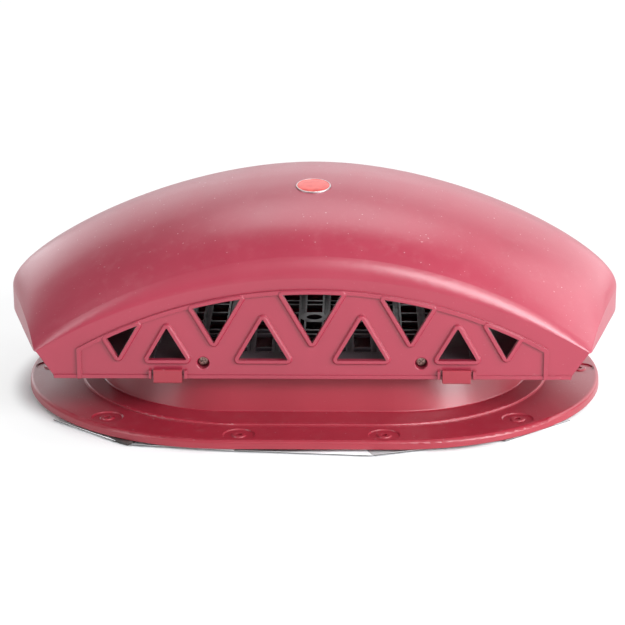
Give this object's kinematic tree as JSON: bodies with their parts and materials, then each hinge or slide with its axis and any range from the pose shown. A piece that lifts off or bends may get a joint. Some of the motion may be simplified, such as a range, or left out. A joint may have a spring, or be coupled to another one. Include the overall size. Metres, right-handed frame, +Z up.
{
  "type": "roof vent",
  "caption": "Domed roof vent: wide arched hood with pierced triangular end faces over an obround duct collar, with a stepped screw-down flange, an inner grille and a butyl seal.",
  "frame": {"origin": "on the surface that the vent rests on, under the centre of its duct", "axes": "+X to the right along the length of the hood, -Y out of the end face that carries the badge's side of the crown, +Z up"},
  "size_m": [0.44, 0.319, 0.1579],
  "materials": {
    "base_red": "satin wine red, fine moulded grain",
    "hood_red": "satin wine red, fine moulded grain",
    "grille_black": "black moulded plastic",
    "butyl": "matt sticky butyl",
    "release_paper": "white siliconised paper",
    "badge_face": "blank domed resin with a pale rim",
    "screw_steel": "zinc plated steel"
  },
  "bodies": {
    "root": {"badge": "badge_face", "base_flange": "base_red", "butyl_seal": "butyl", "grille": "grille_black", "hood": "hood_red", "hood_screws": "screw_steel", "release_paper_back_left": "release_paper", "release_paper_back_left_end": "release_paper", "release_paper_back_middle": "release_paper", "release_paper_back_right": "release_paper", "release_paper_back_right_end": "release_paper", "release_paper_front_left": "release_paper", "release_paper_front_left_end": "release_paper", "release_paper_front_middle": "release_paper", "release_paper_front_right": "release_paper", "release_paper_front_right_end": "release_paper", "release_paper_left_side": "release_paper", "release_paper_right_side": "release_paper"}
  },
  "joints": []
}
